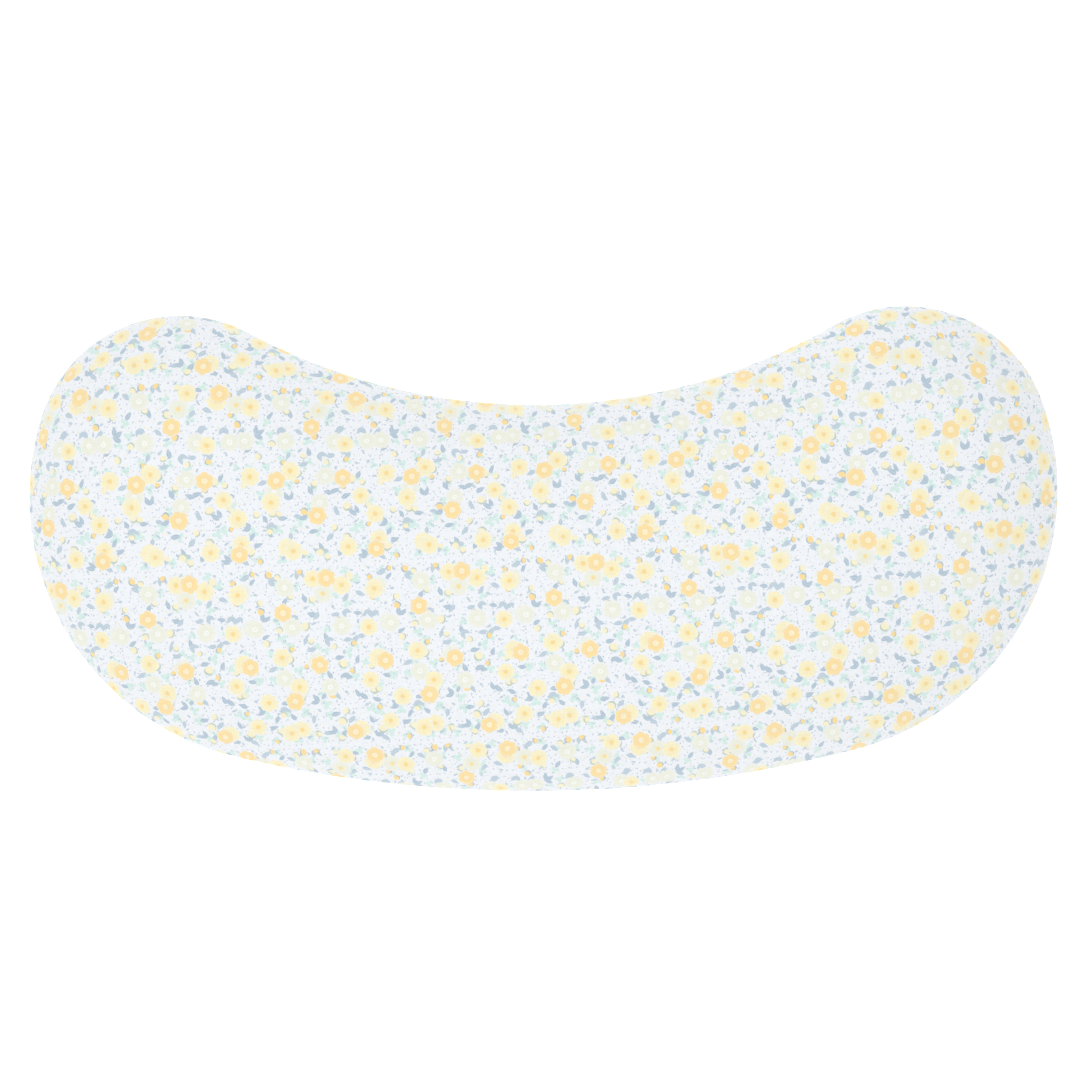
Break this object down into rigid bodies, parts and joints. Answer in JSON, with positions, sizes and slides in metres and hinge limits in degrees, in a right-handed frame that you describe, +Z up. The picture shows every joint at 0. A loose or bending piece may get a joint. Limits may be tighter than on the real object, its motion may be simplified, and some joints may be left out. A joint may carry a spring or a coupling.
{
  "type": "nursing pillow",
  "caption": "Wide crescent nursing pillow: zipped printed cotton cover over a fibre-filled inner pillow, with a concave waist side.",
  "frame": {"origin": "on the resting surface, below the middle of the pillow's box", "axes": "+X along the width towards the right lobe, +Y towards the waist hollow, +Z up"},
  "size_m": [0.6596, 0.3084, 0.102],
  "materials": {
    "printed_cotton": "off-white cotton with a small floral print",
    "liner_cotton": "plain white cotton",
    "polyester_fibre": "loose white fibre",
    "zip_tape": "white herringbone tape",
    "label_ribbon": "white satin ribbon, blank",
    "zip_coil": "white nylon, satin",
    "zip_metal": "white enamel"
  },
  "bodies": {
    "pillow": {"cover_top_panel": "printed_cotton", "cover_front_under_panel": "printed_cotton", "cover_waist_under_panel": "printed_cotton", "cover_edge_seam": "printed_cotton", "cover_under_seams": "printed_cotton", "care_label": "label_ribbon", "zip_tape_front": "zip_tape", "zip_tape_waist": "zip_tape", "zip_coil_front": "zip_coil", "zip_coil_waist": "zip_coil", "zip_top_stops": "zip_metal", "zip_bottom_stop": "zip_metal", "liner_top_panel": "liner_cotton", "liner_bottom_panel": "liner_cotton", "liner_edge_seam": "liner_cotton", "liner_closing_seam": "liner_cotton", "fibre_fill": "polyester_fibre"},
    "slider": {"zip_slider": "zip_metal"},
    "pull": {"zip_pull": "zip_metal"}
  },
  "joints": [
    {"name": "zip_travel", "type": "slide", "parent": "pillow", "child": "slider", "axis": [-1, 0, 0], "range_m": [0, 0.362]},
    {"name": "pull_swing", "type": "hinge", "parent": "slider", "child": "pull", "pos_m": [0.19, 0, 0.0039], "axis": [0, -1, 0], "range_deg": [0, 150]}
  ]
}
